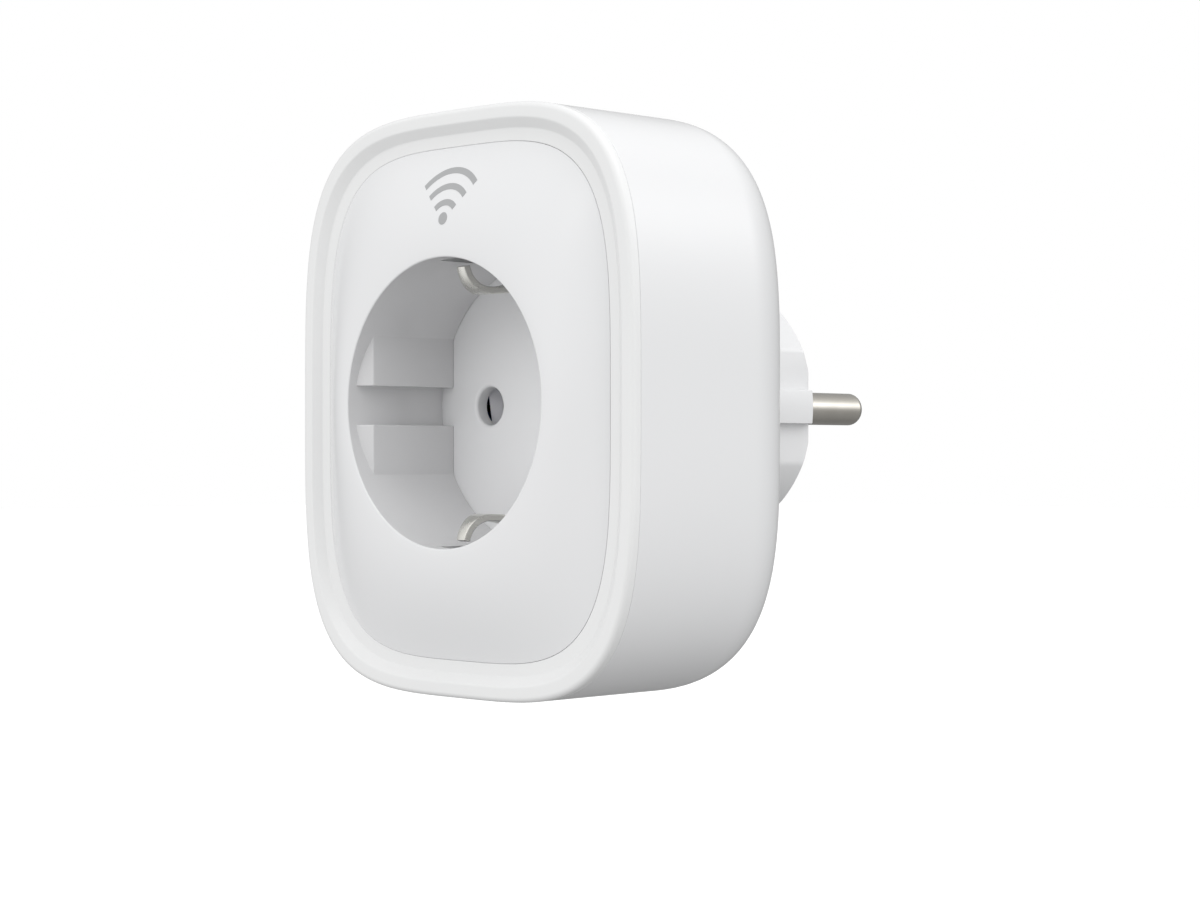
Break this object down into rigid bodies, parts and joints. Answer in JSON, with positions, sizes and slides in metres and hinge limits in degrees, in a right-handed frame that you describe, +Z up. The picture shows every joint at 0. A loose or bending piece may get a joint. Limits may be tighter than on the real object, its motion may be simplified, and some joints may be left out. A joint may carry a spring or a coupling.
{
  "type": "smart plug",
  "caption": "Switched smart plug: pillow-fronted rounded housing with a round earthed socket recess in front and a round two-pin earthed plug behind.",
  "frame": {"origin": "middle of the flat rear face that lies against the wall, on the axis of the plug and the socket", "axes": "+X to the right seen from the front, +Y along the plug into the wall, +Z up"},
  "size_m": [0.0664, 0.075, 0.0796],
  "materials": {
    "shell_plastic": "gloss white polycarbonate",
    "trim_plastic": "satin white polycarbonate",
    "nickel_plate": "nickel plated brass",
    "screw_steel": "zinc plated steel",
    "copper_strap": "bare copper",
    "spring_brass": "spring brass",
    "circuit_board": "solder resist on glass epoxy",
    "polyester_sheet": "milky polyester film",
    "black_plastic": "moulded epoxy or nylon",
    "natural_nylon": "natural nylon",
    "clear_plastic": "clear acrylic",
    "blue_plastic": "blue case or lacquer",
    "yellow_plastic": "yellow case",
    "green_lacquer": "baked lacquer"
  },
  "bodies": {
    "root": {"rear_housing": "shell_plastic", "front_bezel": "trim_plastic", "front_cover": "shell_plastic", "socket_floor": "shell_plastic", "plug_base": "shell_plastic", "case_screws": "screw_steel", "live_pin": "nickel_plate", "neutral_pin": "nickel_plate", "live_link": "copper_strap", "neutral_link": "copper_strap", "live_contact": "nickel_plate", "neutral_contact": "nickel_plate", "earth_strap": "nickel_plate", "earth_link": "spring_brass", "rear_earth_band": "nickel_plate", "earth_pin_sleeve": "spring_brass", "main_board": "circuit_board", "insulating_sheet": "polyester_sheet", "control_board": "circuit_board", "wireless_board": "circuit_board", "wireless_shield": "screw_steel", "switch_body": "black_plastic", "switch_cover": "screw_steel", "status_light": "clear_plastic", "light_pipe": "clear_plastic", "relay_base": "black_plastic", "relay_cover": "blue_plastic", "relay_bobbin": "natural_nylon", "relay_coil": "copper_strap", "relay_core": "screw_steel", "relay_yoke": "screw_steel", "relay_fixed_contact": "spring_brass", "relay_coil_pins": "screw_steel", "mains_filter_capacitor": "yellow_plastic", "bulk_capacitors": "blue_plastic", "varistor": "blue_plastic", "fusible_resistor": "green_lacquer", "power_inductor": "black_plastic", "bridge_rectifier": "black_plastic", "power_chip": "black_plastic", "metering_chip": "black_plastic", "shunt_resistor": "copper_strap", "regulator": "black_plastic"},
    "button": {"button_cap": "trim_plastic"},
    "plunger": {"switch_plunger": "natural_nylon"},
    "top_clip": {"earth_clip_top": "nickel_plate"},
    "bottom_clip": {"earth_clip_bottom": "nickel_plate"},
    "armature": {"relay_armature": "screw_steel", "relay_contact_spring": "spring_brass"}
  },
  "joints": [
    {"name": "button_press", "type": "slide", "parent": "root", "child": "button", "axis": [0, 0, -1], "range_m": [0, 0.0003], "stiffness_N_per_m": 800},
    {"name": "switch_travel", "type": "slide", "parent": "root", "child": "plunger", "axis": [0, 0, -1], "range_m": [0, 0.0003]},
    {"name": "top_clip_flex", "type": "hinge", "parent": "root", "child": "top_clip", "pos_m": [0, -0.0203, 0.0186], "axis": [-1, 0, 0], "range_deg": [0, 5], "stiffness_Nm_per_rad": 0.2},
    {"name": "bottom_clip_flex", "type": "hinge", "parent": "root", "child": "bottom_clip", "pos_m": [0, -0.0203, -0.0186], "axis": [1, 0, 0], "range_deg": [0, 5], "stiffness_Nm_per_rad": 0.2},
    {"name": "armature_rock", "type": "hinge", "parent": "root", "child": "armature", "pos_m": [-0.0082, -0.0196, -0.0282], "axis": [0, 0, 1], "range_deg": [0, 2.5], "stiffness_Nm_per_rad": 0.02}
  ],
  "couplings": [
    {"joint": "switch_travel", "follows": "button_press", "ratio": 1}
  ]
}
